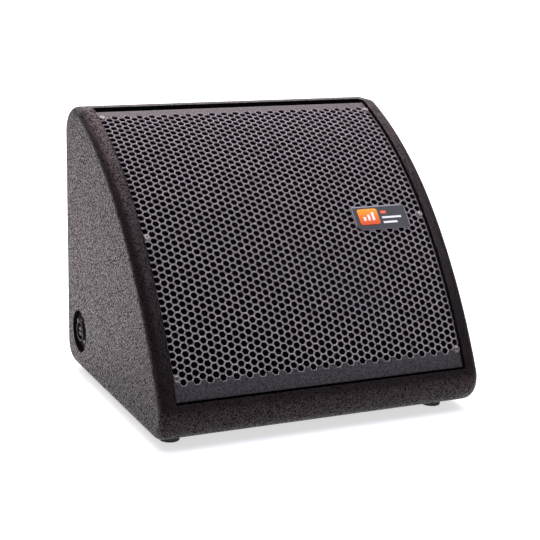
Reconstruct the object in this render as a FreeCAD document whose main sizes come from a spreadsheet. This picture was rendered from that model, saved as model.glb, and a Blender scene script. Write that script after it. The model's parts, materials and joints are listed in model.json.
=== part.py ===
import FreeCAD, Part

import math
import os
import re

import Sketcher

# A passive stage monitor wedge: two plywood cheeks, a plywood carcass, a perforated steel
# grille bent over two arcs, and a coaxial loudspeaker on a slanted baffle.
#
# The side outline is drawn with y from the front of the cabinet towards its back and z up
# from its underside. The model stands on its feet, with its origin under the middle.

DIMENSIONS = {
    # cabinet
    "cabinet_width": 390,
    "cabinet_depth": 334.5,
    "cabinet_height": 314.5,
    "board": 18,
    "edge_round": 10,
    "foot_height": 8,
    # side outline: toe, two front arcs, and the corners at the top and the back
    "toe_radius": 29.6,
    "toe_end": 2.2,
    "low_radius": 640,
    "high_radius": 450,
    "lean_low": 25.5,
    "lean_mid": 43.2,
    "brow_radius": 6,
    "back_top_radius": 34,
    "back_low_radius": 28,
    "back_lean": 1.6,
    "top_rail_front": 287.5,
    "top_rail_slope": 6,
    # grille: distances along the front curve start at the top of the toe
    "grille_sink": 3,
    "grille_thick": 1.5,
    "grille_start": 4.7,
    "grille_end": 392.6,
    "grille_width": 350.4,
    "grille_fold": 4.5,
    "hole_pitch": 8.5,
    "column_pitch": 7.63,
    "screw_columns": 45,
    "screw_low": 28,
    "screw_middle": 193.8,
    "screw_high": 376.5,
    "foam_thick": 3,
    "foam_gap": 0.1,
    "foam_width": 347,
    "lining_start": 8,
    "lining_end": 387.5,
    "batten_width": 16,
    "batten_low_inset": 8,
    "batten_high_inset": 4,
    # badge on the grille
    "badge_left": 83.4,
    "badge_right": 153.6,
    "badge_low": 179.9,
    "badge_high": 211,
    "badge_thick": 1.6,
    "badge_corner": 8,
    "emblem_left": 89.5,
    "emblem_right": 115.5,
    "emblem_low": 186,
    "emblem_high": 207,
    "emblem_thick": 0.6,
    "emblem_corner": 3,
    # baffle, in its own frame: origin, slope, ends along the slope and depth of its face
    "baffle_y": 4,
    "baffle_z": 44.6,
    "baffle_tilt": 44.67,
    "baffle_low": 9,
    "baffle_high": 379,
    "baffle_sink": 14,
    # coaxial loudspeaker
    "speaker_centre": 192,
    "speaker_radius": 127,
    "speaker_cutout": 116,
    "flange_thick": 5,
    "gasket_thick": 3,
    "gasket_inner": 113.5,
    "basket_depth": 80,
    "basket_base": 60,
    "basket_wall": 2,
    "basket_ease": 1,
    "basket_shoulder": 12,
    "basket_floor_thick": 3,
    "basket_hole": 31,
    "window_inner": 66,
    "window_outer": 103,
    "window_half_inner": 14,
    "window_half_outer": 40,
    "window_count": 6,
    "surround_outer": 112.8,
    "surround_inner": 98.6,
    "surround_lip": 118,
    "surround_ease": 0.4,
    "surround_thick": 1,
    "cone_edge_depth": 9,
    "cone_edge": 98,
    "cone_neck_depth": 62,
    "cone_neck": 25.9,
    "cone_thick": 1.2,
    "cone_land": 3,
    "coil_inner": 25.2,
    "coil_outer": 25.9,
    "coil_length": 32,
    "coil_rise": 2,
    "spider_depth": 70,
    "spider_inner": 27,
    "spider_outer": 59,
    "spider_thick": 0.8,
    "spider_land": 4,
    "gap_outer": 27,
    "pole_radius": 24.4,
    "pole_bore": 13,
    "plate_radius": 50,
    "top_plate_thick": 6,
    "magnet_radius": 52,
    "magnet_inner": 32,
    "magnet_thick": 16,
    "back_plate_thick": 6,
    "frame_screw_circle": 242,
    "frame_screw_count": 8,
    # high frequency horn and compression driver on the back of the magnet
    "horn_throat": 11,
    "horn_neck": 22.5,
    "horn_mouth": 42,
    "horn_mouth_depth": 34,
    "horn_neck_depth": 54,
    "horn_wall": 1.5,
    "horn_fit": 0.1,
    "horn_start": 2,
    "driver_radius": 44,
    "driver_step": 2,
    "driver_bevel": 4,
    "driver_plate_thick": 6,
    "driver_magnet_thick": 18,
    "driver_magnet_inner": 22,
    "driver_cap_depth": 17,
    "driver_cap_wall": 3,
    "dome_radius": 17,
    "dome_height": 5,
    "dome_thick": 0.4,
    "dome_seat": 4,
    "dome_shoulder": 0.6,
    "dome_shoulder_rise": 0.66,
    # reflex ports
    "port_offset": 128,
    "port_centre": 60,
    "port_inner": 22,
    "port_wall": 2.5,
    "port_fit": 0.3,
    "port_lip": 30,
    "port_lip_thick": 3,
    "port_length": 50,
    # connector in its dish on the left cheek
    "dish_y": 276.4,
    "dish_z": 47.8,
    "dish_radius": 25.5,
    "dish_depth": 5.5,
    "socket_hole": 12.2,
    "flange_long": 31,
    "flange_short": 26,
    "flange_sheet": 2,
    "ring_outer": 12,
    "ring_inner": 11,
    "ring_sink": 0.2,
    "ring_root": 0.5,
    "flange_screw_inset": 3.2,
    "socket_body": 11.8,
    "socket_depth": 15.5,
    "socket_floor": 3,
    "hub_radius": 5.4,
    "hub_recess": 1,
    "hub_slot": 2.4,
    "hub_slot_depth": 6,
    "contact_width": 2.6,
    "contact_length": 8,
    "contact_thick": 0.5,
    "contact_start": 2,
    "terminal_width": 18,
    "terminal_depth": 10,
    # crossover board on the floor of the cabinet
    "circuit_x": 66,
    "circuit_y": 176,
    "circuit_width": 100,
    "circuit_length": 108,
    "circuit_thick": 1.6,
    "standoff": 6,
    "standoff_radius": 3,
    "circuit_margin": 7,
    "coil_form_radius": 19,
    "coil_form_bore": 8,
    "coil_form_height": 22,
    "inductor_inset": 30,
    "capacitor_radius": 8,
    "capacitor_length": 34,
    "capacitor_across": 58,
    "capacitor_along": 62,
    "capacitor_gap": 4,
    "resistor_side": 9,
    "resistor_length": 44,
    "resistor_across": 12,
    "resistor_along": 58,
    # lining behind the loudspeaker
    "lining_thick": 14,
    "lining_width": 300,
    "lining_low": 68,
    "lining_high": 268,
    # feet
    "foot_radius": 11.5,
    "foot_toe_radius": 11,
    "foot_left": 169,
    "foot_right": 157,
    "foot_front": 43,
    "foot_back": 292,
    "foot_dimple": 5.5,
    "foot_dimple_depth": 3.2,
    # screws
    "head_taper": 0.8,
    "pan_head": 3.9,
    "pan_height": 2.2,
    "pan_shank": 1.9,
    "pan_length": 16,
    "small_head": 2.7,
    "small_height": 1.6,
    "small_shank": 1.3,
    "small_length": 8,
}

ALIAS = re.compile(r"[a-z][a-z_]*")
FULL_TURN = 360
HALF_TURN = 180
QUARTER_TURN = 90

# how closely an edge's place and length are compared when picking edges to round
PLACE_TOLERANCE = 0.01
LENGTH_TOLERANCE = 0.1

document = FreeCAD.newDocument("StageMonitorWedge")
sheet = document.addObject("Spreadsheet::Sheet", "Size")
for row, (alias, number) in enumerate(DIMENSIONS.items(), start=1):
    sheet.set(f"A{row}", alias)
    sheet.set(f"B{row}", str(number))
    sheet.setAlias(f"B{row}", alias)
document.recompute()

sub_parts = []


# ---------------------------------------------------------------- expressions and placing

def cells(expression):
    """Turn the aliases in an expression into references to the sheet."""
    return ALIAS.sub(lambda word: f"Size.{word[0]}" if word[0] in DIMENSIONS else word[0], str(expression))


def value(expression):
    """Work out an expression with the sheet's present numbers."""
    result = sheet.evalExpression(cells(expression))
    return float(getattr(result, "Value", result))


def bind(item, **sizes):
    """Bind properties of a document object to the sheet."""
    for name, expression in sizes.items():
        item.setExpression(name, cells(expression))
    return item


def place(item, x=0, y=0, z=0, axis=(1, 0, 0), angle=0):
    """Bind an object's position, and its turn about one axis, to the sheet."""
    turn = FreeCAD.Rotation(FreeCAD.Vector(*axis), value(angle))
    item.Placement = FreeCAD.Placement(FreeCAD.Vector(), turn)
    if value(angle):
        item.setExpression("Placement.Rotation.Angle", cells(angle))
    for direction, expression in zip("xyz", (x, y, z)):
        item.setExpression(f"Placement.Base.{direction}", cells(expression))
    return item


def place_in_cabinet(item, x=0, y=0, z=0, axis=(1, 0, 0), angle=0):
    """Place an object whose position is given in the side outline's coordinates."""
    return place(item, x, f"{y} - cabinet_depth / 2", f"{z} + foot_height", axis, angle)


def baffle_point(along, out):
    """A point of the baffle's frame (up the slope, out of its face) in the side outline's."""
    y = f"baffle_y + ({along}) * cos(baffle_tilt) - ({out}) * sin(baffle_tilt)"
    z = f"baffle_z + ({along}) * sin(baffle_tilt) + ({out}) * cos(baffle_tilt)"
    return y, z


def place_on_baffle(item, x=0, along=0, out=0):
    """Place an object in the baffle's frame: across, up the slope, and out of its face."""
    y, z = baffle_point(along, out)
    return place_in_cabinet(item, x, y, z, angle="baffle_tilt")


def finish(item, label):
    """Name a sub-part and put it on the list of those written out."""
    item.Label = label
    sub_parts.append(item)
    return item


# ---------------------------------------------------------------- sketches and features

def origin_plane(body, role):
    return next(feature for feature in body.Origin.OriginFeatures if feature.Role == role)


def new_sketch(body, role, name):
    sketch = body.newObject("Sketcher::SketchObject", name)
    sketch.AttachmentSupport = (origin_plane(body, role), [""])
    sketch.MapMode = "FlatFace"
    return sketch


def constrain(sketch, *terms, size):
    """Add a driving constraint and bind it to the sheet."""
    index = sketch.addConstraint(Sketcher.Constraint(*terms, value(size)))
    sketch.setExpression(f"Constraints[{index}]", cells(size))


def add_arc(sketch, start, end, radius, clockwise):
    """Add the short arc of the given radius from start to end."""
    chord = end - start
    middle = (start + end) / 2
    height = math.sqrt(radius ** 2 - (chord.Length / 2) ** 2)
    left = FreeCAD.Vector(-chord.y, chord.x, 0).normalize()
    centre = middle - left * height if clockwise else middle + left * height
    first, last = (end, start) if clockwise else (start, end)
    angles = [math.atan2(point.y - centre.y, point.x - centre.x) for point in (first, last)]
    circle = Part.Circle(centre, FreeCAD.Vector(0, 0, 1), radius)
    return sketch.addGeometry(Part.ArcOfCircle(circle, *angles))


def draw_outline(sketch, corners):
    """Draw a closed outline through corners (x, y) or (x, y, radius of the arc that follows).

    A positive radius turns clockwise and a negative one the other way.
    """
    points = [FreeCAD.Vector(value(corner[0]), value(corner[1]), 0) for corner in corners]
    starts = []
    ends = []
    for index, corner in enumerate(corners):
        start = points[index]
        end = points[(index + 1) % len(points)]
        if len(corner) == 2:
            edge = sketch.addGeometry(Part.LineSegment(start, end))
            backwards = False
        else:
            radius = value(corner[2])
            backwards = radius > 0
            edge = add_arc(sketch, start, end, abs(radius), backwards)
        starts.append((edge, 2 if backwards else 1))
        ends.append((edge, 1 if backwards else 2))
    for index, corner in enumerate(corners):
        follower = starts[(index + 1) % len(corners)]
        sketch.addConstraint(Sketcher.Constraint("Coincident", *ends[index], *follower))
        constrain(sketch, "DistanceX", -1, 1, *starts[index], size=corner[0])
        constrain(sketch, "DistanceY", -1, 1, *starts[index], size=corner[1])
        if len(corner) > 2:
            constrain(sketch, "Radius", starts[index][0], size=str(corner[2]).lstrip("-"))
    return sketch


def draw_circles(sketch, circles):
    """Draw full circles (x, y, radius)."""
    for x, y, radius in circles:
        centre = FreeCAD.Vector(value(x), value(y), 0)
        edge = sketch.addGeometry(Part.Circle(centre, FreeCAD.Vector(0, 0, 1), value(radius)))
        constrain(sketch, "DistanceX", -1, 1, edge, 3, size=x)
        constrain(sketch, "DistanceY", -1, 1, edge, 3, size=y)
        constrain(sketch, "Radius", edge, size=radius)
    return sketch


def new_body(label):
    return finish(document.addObject("PartDesign::Body", label), label)


def pad(body, sketch, length, name="pad"):
    feature = body.newObject("PartDesign::Pad", name)
    feature.Profile = sketch
    bind(feature, Length=length)
    document.recompute()
    return feature


def pocket(body, sketch, depth=None, backwards=False, name="pocket"):
    """Cut a sketch into the body, to a depth or right through, and make sure it cuts."""
    before = body.Shape.Volume
    feature = body.newObject("PartDesign::Pocket", name)
    feature.Profile = sketch
    feature.Reversed = backwards
    if depth is None:
        feature.Type = "ThroughAll"
    else:
        bind(feature, Length=depth)
    document.recompute()
    if body.Shape.Volume >= before:
        raise ValueError(f"{body.Label}: {name} cuts nothing")
    return feature


def fillet(body, base, radius, wanted, name="fillet"):
    """Round the edges of a feature that the wanted test picks."""
    edges = [f"Edge{number}" for number, edge in enumerate(base.Shape.Edges, start=1) if wanted(edge)]
    feature = body.newObject("PartDesign::Fillet", name)
    feature.Base = (base, edges)
    bind(feature, Radius=radius)
    document.recompute()
    return feature


def prism(label, corners, length, x):
    """A board or sheet with the given side outline, from x to x + length."""
    body = new_body(label)
    outline = draw_outline(new_sketch(body, "YZ_Plane", "outline"), corners)
    pad(body, outline, length)
    place_in_cabinet(body, x)
    return body


def block(label, x, y, z, sizes):
    """A rectangular block, with its low corner in the side outline's coordinates."""
    item = document.addObject("Part::Box", label)
    bind(item, Length=sizes[0], Width=sizes[1], Height=sizes[2])
    place_in_cabinet(item, x, y, z)
    return item


def turned(label, corners, x=0, along="speaker_centre", out=0):
    """A round piece on the baffle, from an outline (radius, height above its plane)."""
    body = new_body(label)
    outline = draw_outline(new_sketch(body, "XZ_Plane", "outline"), corners)
    feature = body.newObject("PartDesign::Revolution", "turn")
    feature.Profile = outline
    feature.ReferenceAxis = (outline, ["V_Axis"])
    feature.Angle = FULL_TURN
    document.recompute()
    place_on_baffle(body, x, along, out)
    return body


def ring(label, outer, inner, low, high):
    """A plain ring round the loudspeaker's axis."""
    return turned(label, [(inner, low), (outer, low), (outer, high), (inner, high)])


def screws(label, spots, size):
    """Screws that share one node: a tapered head on a shank, for each (place function, where)."""
    solids = []
    for number, (put, where) in enumerate(spots):
        head = document.addObject("Part::Cone", f"{label}_head_{number}")
        bind(head, Radius1=f"{size}_head", Radius2=f"{size}_head * head_taper", Height=f"{size}_height")
        shank = document.addObject("Part::Cylinder", f"{label}_shank_{number}")
        bind(shank, Radius=f"{size}_shank", Height=f"{size}_length")
        shank.setExpression("Placement.Base.z", cells(f"-{size}_length"))
        screw = document.addObject("Part::Fuse", f"{label}_screw_{number}")
        screw.Base = head
        screw.Tool = shank
        put(screw, **where)
        solids.append(screw)
    group = document.addObject("Part::Compound", label)
    group.Links = solids
    return finish(group, label)


# ---------------------------------------------------------------- the front curve

TOE_TOP = ("toe_radius * (1 - cos(lean_low))", "toe_radius * (1 + sin(lean_low))")
LOW_CENTRE = (
    f"({TOE_TOP[0]} + low_radius * cos(lean_low))",
    f"({TOE_TOP[1]} - low_radius * sin(lean_low))",
)
HIGH_CENTRE = (
    f"({LOW_CENTRE[0]} - (low_radius - high_radius) * cos(lean_mid))",
    f"({LOW_CENTRE[1]} + (low_radius - high_radius) * sin(lean_mid))",
)
LOW_LENGTH = "(low_radius * (lean_mid - lean_low) * pi / 180)"


def lean(distance):
    """The front curve's lean from upright at a distance along it."""
    if value(distance) <= value(LOW_LENGTH):
        return f"(lean_low + ({distance}) / low_radius * 180 / pi)"
    return f"(lean_mid + (({distance}) - {LOW_LENGTH}) / high_radius * 180 / pi)"


def front_point(distance, sink):
    """A point of the front curve, sunk inwards, and the radius of the arc it is on."""
    low = value(distance) <= value(LOW_LENGTH)
    centre = LOW_CENTRE if low else HIGH_CENTRE
    radius = f"({'low' if low else 'high'}_radius - ({sink}))"
    angle = lean(distance)
    return f"{centre[0]} - {radius} * cos({angle})", f"{centre[1]} + {radius} * sin({angle})", radius


def up_curve(start, end, sink):
    """Corners of the front curve from start up to end: one arc or two, then a line."""
    stops = [start, end]
    if value(start) < value(LOW_LENGTH) < value(end):
        stops.insert(1, LOW_LENGTH)
    corners = []
    for stop, following in zip(stops, stops[1:]):
        y, z, radius = front_point(stop, sink)
        if value(stop) == value(LOW_LENGTH):
            radius = f"(high_radius - ({sink}))"
        corners.append((y, z, radius))
    y, z, radius = front_point(end, sink)
    corners.append((y, z))
    return corners


def down_curve(start, end, sink):
    """The same corners from end down to start."""
    upward = up_curve(start, end, sink)
    radii = [corner[2] for corner in upward[:-1]]
    corners = [(corner[0], corner[1]) for corner in reversed(upward)]
    return [(*corner, f"-{radius}") for corner, radius in zip(corners, reversed(radii))] + corners[-1:]


def brow():
    """The small arc between the front curve and the flat top: where it starts and ends."""
    rise = f"(cabinet_height - brow_radius - {HIGH_CENTRE[1]})"
    reach = f"sqrt((high_radius - brow_radius) ^ 2 - {rise} ^ 2)"
    share = "high_radius / (high_radius - brow_radius)"
    start = (f"{HIGH_CENTRE[0]} - {reach} * {share}", f"{HIGH_CENTRE[1]} + {rise} * {share}")
    end = (f"{HIGH_CENTRE[0]} - {reach}", "cabinet_height")
    return start, end


BACK_TOP_Y = "(cabinet_depth - back_top_radius * (1 - cos(back_lean)))"
BACK_TOP_Z = "(cabinet_height - back_top_radius * (1 + sin(back_lean)))"
BACK_LOW_Z = "(back_low_radius * (1 - sin(back_lean)))"


def back_face(height):
    """How far back the leaning rear face is at a height."""
    return f"({BACK_TOP_Y} - tan(back_lean) * ({BACK_TOP_Z} - ({height})))"


BACK_LOW_CENTRE = f"({back_face(BACK_LOW_Z)} - back_low_radius * cos(back_lean))"


def reach(radius, drop):
    """How far a corner arc has come round at a distance below its flat side."""
    return f"sqrt({radius} ^ 2 - ({radius} - {drop}) ^ 2)"


def cheek_outline():
    """The whole side outline, clockwise from the bottom of the toe."""
    low = front_point(0, 0)
    middle = front_point(LOW_LENGTH, 0)
    brow_start, brow_end = brow()
    return [
        ("toe_radius", 0, "toe_radius"),
        (TOE_TOP[0], TOE_TOP[1], low[2]),
        (middle[0], middle[1], "high_radius"),
        (*brow_start, "brow_radius"),
        brow_end,
        ("cabinet_depth - back_top_radius", "cabinet_height", "back_top_radius"),
        (BACK_TOP_Y, BACK_TOP_Z),
        (back_face(BACK_LOW_Z), BACK_LOW_Z, "back_low_radius"),
        (BACK_LOW_CENTRE, 0),
    ]


# ---------------------------------------------------------------- carcass

INSIDE_WIDTH = "cabinet_width - 2 * board"
INSIDE_LEFT = "board - cabinet_width / 2"


def make_cheek(label, x, outer_face):
    """A cheek, with its outer edges rounded over all the way round."""
    body = prism(label, cheek_outline(), "board", x)
    flat = value(outer_face)

    def on_outer_face(edge):
        box = edge.BoundBox
        return abs(box.XMin - flat) < PLACE_TOLERANCE and abs(box.XMax - flat) < PLACE_TOLERANCE

    fillet(body, body.Tip, "edge_round", on_outer_face, "outer_edge")
    return body


def make_left_cheek():
    """The left cheek also has the connector's dish and the hole behind it."""
    body = make_cheek("side_panel_left", "-cabinet_width / 2", 0)
    dish = draw_circles(new_sketch(body, "YZ_Plane", "dish_outline"), [("dish_y", "dish_z", "dish_radius")])
    pocket(body, dish, "dish_depth", backwards=True, name="dish")
    hole = draw_circles(new_sketch(body, "YZ_Plane", "hole_outline"), [("dish_y", "dish_z", "socket_hole")])
    pocket(body, hole, backwards=True, name="socket_hole")


def make_carcass():
    make_left_cheek()
    make_cheek("side_panel_right", "cabinet_width / 2 - board", "board")
    rail_foot = "cabinet_height - board"
    top_joint = (f"cabinet_depth - back_top_radius + {reach('back_top_radius', 'board')}", rail_foot)
    low_joint = (f"{BACK_LOW_CENTRE} + {reach('back_low_radius', 'board')}", "board")
    prism(
        "top_rail",
        [
            ("top_rail_front", "cabinet_height"),
            ("cabinet_depth - back_top_radius", "cabinet_height", "back_top_radius"),
            top_joint,
            ("top_rail_front + top_rail_slope", rail_foot),
        ],
        INSIDE_WIDTH,
        INSIDE_LEFT,
    )
    prism(
        "toe_rail",
        [
            ("toe_radius", 0, "toe_radius"),
            (*TOE_TOP, "low_radius"),
            front_point("toe_end", 0)[:2],
            ("toe_radius", "toe_radius"),
        ],
        INSIDE_WIDTH,
        INSIDE_LEFT,
    )
    prism(
        "bottom_panel",
        [
            ("toe_radius", 0),
            ("toe_radius", "board"),
            (*low_joint, "back_low_radius"),
            (BACK_LOW_CENTRE, 0),
        ],
        INSIDE_WIDTH,
        INSIDE_LEFT,
    )
    prism(
        "back_panel",
        [
            (f"{back_face('board')} - board", "board"),
            (f"{back_face(rail_foot)} - board", rail_foot),
            (*top_joint, "back_top_radius"),
            (BACK_TOP_Y, BACK_TOP_Z),
            (back_face(BACK_LOW_Z), BACK_LOW_Z, "back_low_radius"),
            low_joint,
        ],
        INSIDE_WIDTH,
        INSIDE_LEFT,
    )


def make_battens():
    """Curved strips that hold the grille, on the baffle against each cheek."""
    curve = up_curve("lining_start", "lining_end", "grille_sink + grille_thick + 2 * foam_gap + foam_thick")
    feet = [
        baffle_point("baffle_high - batten_high_inset", "-baffle_sink"),
        baffle_point("baffle_low + batten_low_inset", "-baffle_sink"),
    ]
    prism("grille_batten_left", curve + feet, "batten_width", INSIDE_LEFT)
    prism("grille_batten_right", curve + feet, "batten_width", "cabinet_width / 2 - board - batten_width")


def make_baffle():
    """The slanted board, with the loudspeaker's hole and the two ports' holes."""
    body = new_body("baffle")
    half = f"({INSIDE_WIDTH}) / 2"
    outline = draw_outline(
        new_sketch(body, "XY_Plane", "outline"),
        [
            (f"-{half}", "baffle_low"),
            (half, "baffle_low"),
            (half, "baffle_high"),
            (f"-{half}", "baffle_high"),
        ],
    )
    pad(body, outline, "board")
    port = "port_inner + port_wall + port_fit"
    holes = [
        (0, "speaker_centre", "speaker_cutout"),
        ("-port_offset", "port_centre", port),
        ("port_offset", "port_centre", port),
    ]
    pocket(body, draw_circles(new_sketch(body, "XY_Plane", "holes_outline"), holes), backwards=True)
    place_on_baffle(body, out="-baffle_sink - board")


# ---------------------------------------------------------------- grille and badge

def make_grille():
    """The bent steel sheet, folded inwards along its top and bottom edges."""
    sink = "grille_sink"
    back = "grille_sink + grille_thick"
    fold = f"{back} + grille_fold"
    start, end = "grille_start", "grille_end"
    inner_start = f"{start} + grille_thick"
    inner_end = f"{end} - grille_thick"
    corners = up_curve(start, end, sink)
    corners += [front_point(end, fold)[:2], front_point(inner_end, fold)[:2]]
    corners += down_curve(inner_start, inner_end, back)
    corners += [front_point(inner_start, fold)[:2], front_point(start, fold)[:2]]
    prism("grille", corners, "grille_width", "-grille_width / 2")


def make_foam():
    """Thin acoustic foam right behind the grille."""
    face = "grille_sink + grille_thick + foam_gap"
    corners = up_curve("lining_start", "lining_end", face)
    corners += down_curve("lining_start", "lining_end", f"{face} + foam_thick")
    prism("grille_foam", corners, "foam_width", "-foam_width / 2")


def grille_screw_spot(side, distance):
    """Where a grille screw goes, and its turn to stand square to the front curve."""
    y, z, _ = front_point(distance, "grille_sink")
    where = {"x": f"{side} * screw_columns * column_pitch / 2", "y": y, "z": z}
    where["angle"] = f"90 - {lean(distance)}"
    return place_in_cabinet, where


def make_grille_screws():
    """Three screws up each side; the rows of holes are staggered between the two sides."""
    spots = []
    for distance, shift in (("screw_low", -1), ("screw_middle", 1), ("screw_high", -1)):
        for side in (-1, 1):
            spots.append(grille_screw_spot(side, f"{distance} + {side * shift} * hole_pitch / 4"))
    screws("grille_screws", spots, "pan")


def make_badge():
    """A thin plate that follows the grille, with a plain coloured tile on it."""
    face = "grille_sink - badge_thick"
    corners = up_curve("badge_low", "badge_high", face) + down_curve("badge_low", "badge_high", "grille_sink")
    plate = prism("badge_plate", corners, "badge_right - badge_left", "badge_left")
    middle = plate.Tip.Shape.BoundBox.Center

    def short_edge(edge, thick):
        return edge.BoundBox.XLength < PLACE_TOLERANCE and edge.Length < value(thick) + LENGTH_TOLERANCE

    def opposite_corners(edge):
        centre = edge.BoundBox.Center
        return short_edge(edge, "badge_thick") and (centre.x > middle.x) == (centre.z > middle.z)

    fillet(plate, plate.Tip, "badge_corner", opposite_corners)
    outer = f"{face} - emblem_thick"
    corners = up_curve("emblem_low", "emblem_high", outer) + down_curve("emblem_low", "emblem_high", face)
    tile = prism("badge_emblem", corners, "emblem_right - emblem_left", "emblem_left")
    fillet(tile, tile.Tip, "emblem_corner", lambda edge: short_edge(edge, "emblem_thick"))


# ---------------------------------------------------------------- coaxial loudspeaker

FACE = "-baffle_sink"
BASKET_FLOOR = "-basket_depth"
TOP_PLATE_BACK = "-(basket_depth + top_plate_thick)"
MAGNET_BACK = "-(basket_depth + top_plate_thick + magnet_thick)"
YOKE_BACK = "-(basket_depth + top_plate_thick + magnet_thick + back_plate_thick)"


def make_basket():
    """The pressed frame: a flange, a conical wall with windows, and a floor with a hole."""
    wall_top = "speaker_cutout - basket_ease"
    floor = f"{BASKET_FLOOR} + basket_floor_thick"
    body = turned(
        "speaker_basket",
        [
            ("basket_hole", BASKET_FLOOR),
            ("basket_base", BASKET_FLOOR),
            (wall_top, f"{FACE} - basket_shoulder"),
            (wall_top, FACE),
            ("speaker_radius", FACE),
            ("speaker_radius", f"{FACE} + flange_thick"),
            (f"{wall_top} - basket_wall", f"{FACE} + flange_thick"),
            (f"{wall_top} - basket_wall", f"{FACE} - basket_shoulder + basket_ease"),
            ("basket_base - basket_ease", floor),
            ("basket_hole", floor),
        ],
    )
    window = draw_outline(
        new_sketch(body, "XY_Plane", "window_outline"),
        [
            ("window_inner", "-window_half_inner"),
            ("window_inner", "window_half_inner"),
            ("window_outer", "window_half_outer"),
            ("window_outer", "-window_half_outer"),
        ],
    )
    cut = pocket(body, window, name="window")
    pattern = body.newObject("PartDesign::PolarPattern", "windows")
    pattern.Originals = [cut]
    pattern.Axis = (window, ["N_Axis"])
    pattern.Angle = FULL_TURN
    bind(pattern, Occurrences="window_count")
    body.Tip = pattern
    document.recompute()


def make_surround_and_gasket():
    """The gasket on the flange, and the half-roll edge that carries the cone."""
    seat = f"({FACE} + flange_thick)"
    edge = f"({seat} + surround_thick)"
    turned(
        "speaker_gasket",
        [
            ("surround_lip", seat),
            ("speaker_radius", seat),
            ("speaker_radius", f"{seat} + gasket_thick"),
            ("gasket_inner", f"{seat} + gasket_thick"),
            ("gasket_inner", edge),
            ("surround_lip", edge),
        ],
    )
    roll = "((surround_outer - surround_inner) / 2 + surround_ease)"
    turned(
        "speaker_surround",
        [
            ("surround_inner", edge, roll),
            ("surround_outer", edge),
            ("surround_lip", edge),
            ("surround_lip", seat),
            ("surround_outer - surround_thick", seat, f"-({roll} - surround_thick)"),
            ("surround_inner + surround_thick", seat),
        ],
    )


def make_moving_parts():
    """The paper cone and the coil on its former, which slide together along the axis."""
    edge = "(-cone_edge_depth)"
    neck = "(-cone_neck_depth)"
    turned(
        "speaker_cone",
        [
            ("cone_neck", neck),
            ("cone_edge - cone_land", edge),
            ("cone_edge", edge),
            ("cone_edge", f"{edge} + cone_thick"),
            ("cone_edge - cone_land - cone_thick", f"{edge} + cone_thick"),
            ("cone_neck", f"{neck} + cone_thick * 2"),
        ],
    )
    ring("voice_coil", "coil_outer", "coil_inner", f"{neck} + coil_rise - coil_length", f"{neck} + coil_rise")


def make_spider():
    """The centring disc between the basket's floor and the coil."""
    base = "(-spider_depth)"
    floor = f"{BASKET_FLOOR} + basket_floor_thick"
    turned(
        "speaker_spider",
        [
            ("spider_inner", base),
            ("spider_outer - spider_land", base),
            ("spider_outer - spider_land", floor),
            ("spider_outer", floor),
            ("spider_outer", f"{base} + spider_thick"),
            ("spider_inner", f"{base} + spider_thick"),
        ],
    )


def make_magnet_system():
    ring("speaker_top_plate", "plate_radius", "gap_outer", TOP_PLATE_BACK, BASKET_FLOOR)
    ring("speaker_magnet", "magnet_radius", "magnet_inner", MAGNET_BACK, TOP_PLATE_BACK)
    turned(
        "speaker_yoke",
        [
            ("pole_bore", YOKE_BACK),
            ("plate_radius", YOKE_BACK),
            ("plate_radius", MAGNET_BACK),
            ("pole_radius", MAGNET_BACK),
            ("pole_radius", BASKET_FLOOR),
            ("pole_bore", BASKET_FLOOR),
        ],
    )


def make_horn():
    """The small horn that carries treble through the pole and opens inside the cone."""
    neck = "(-horn_neck_depth)"
    mouth = "(-horn_mouth_depth)"
    turned(
        "horn",
        [
            ("horn_throat", YOKE_BACK),
            ("pole_bore - horn_fit", YOKE_BACK),
            ("pole_bore - horn_fit", BASKET_FLOOR),
            ("horn_neck + horn_wall", BASKET_FLOOR),
            ("horn_neck + horn_wall", neck),
            ("horn_mouth + horn_wall", mouth),
            ("horn_mouth", mouth),
            ("horn_neck", neck),
            ("horn_throat", f"{BASKET_FLOOR} + horn_start"),
        ],
    )


def make_compression_driver():
    plate_back = f"({YOKE_BACK} - driver_plate_thick)"
    magnet_back = f"({plate_back} - driver_magnet_thick)"
    ring("driver_plate", "driver_radius", "horn_throat", plate_back, YOKE_BACK)
    side = "driver_radius - driver_step"
    cap_back = f"{magnet_back} - driver_cap_depth"
    ring("driver_magnet", side, "driver_magnet_inner", magnet_back, plate_back)
    turned(
        "driver_cap",
        [
            (0, cap_back),
            (f"{side} - driver_bevel", cap_back),
            (side, f"{cap_back} + driver_bevel"),
            (side, magnet_back),
            (f"{side} - driver_cap_wall", magnet_back),
            (f"{side} - driver_cap_wall", f"{cap_back} + driver_cap_wall"),
            (0, f"{cap_back} + driver_cap_wall"),
        ],
    )
    base = f"({magnet_back} - dome_seat)"
    shoulder = f"{base} - dome_height * dome_shoulder_rise"
    turned(
        "driver_diaphragm",
        [
            (0, f"{base} - dome_height - dome_thick"),
            ("dome_radius * dome_shoulder", f"{shoulder} - dome_thick"),
            ("dome_radius", f"{base} - dome_thick"),
            ("dome_radius", base),
            ("dome_radius * dome_shoulder", shoulder),
            (0, f"{base} - dome_height"),
        ],
    )
    rim = f"{side} - driver_cap_wall"
    ring("driver_surround", rim, "dome_radius + dome_thick", f"{base} - dome_thick", base)


def make_speaker_screws():
    """Screws round the basket's flange."""
    spots = []
    for number in range(DIMENSIONS["frame_screw_count"]):
        angle = FULL_TURN * (number + 0.5) / DIMENSIONS["frame_screw_count"]
        where = {
            "x": f"frame_screw_circle / 2 * cos({angle})",
            "along": f"speaker_centre + frame_screw_circle / 2 * sin({angle})",
            "out": f"{FACE} + flange_thick + gasket_thick",
        }
        spots.append((place_on_baffle, where))
    screws("speaker_screws", spots, "pan")


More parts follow.
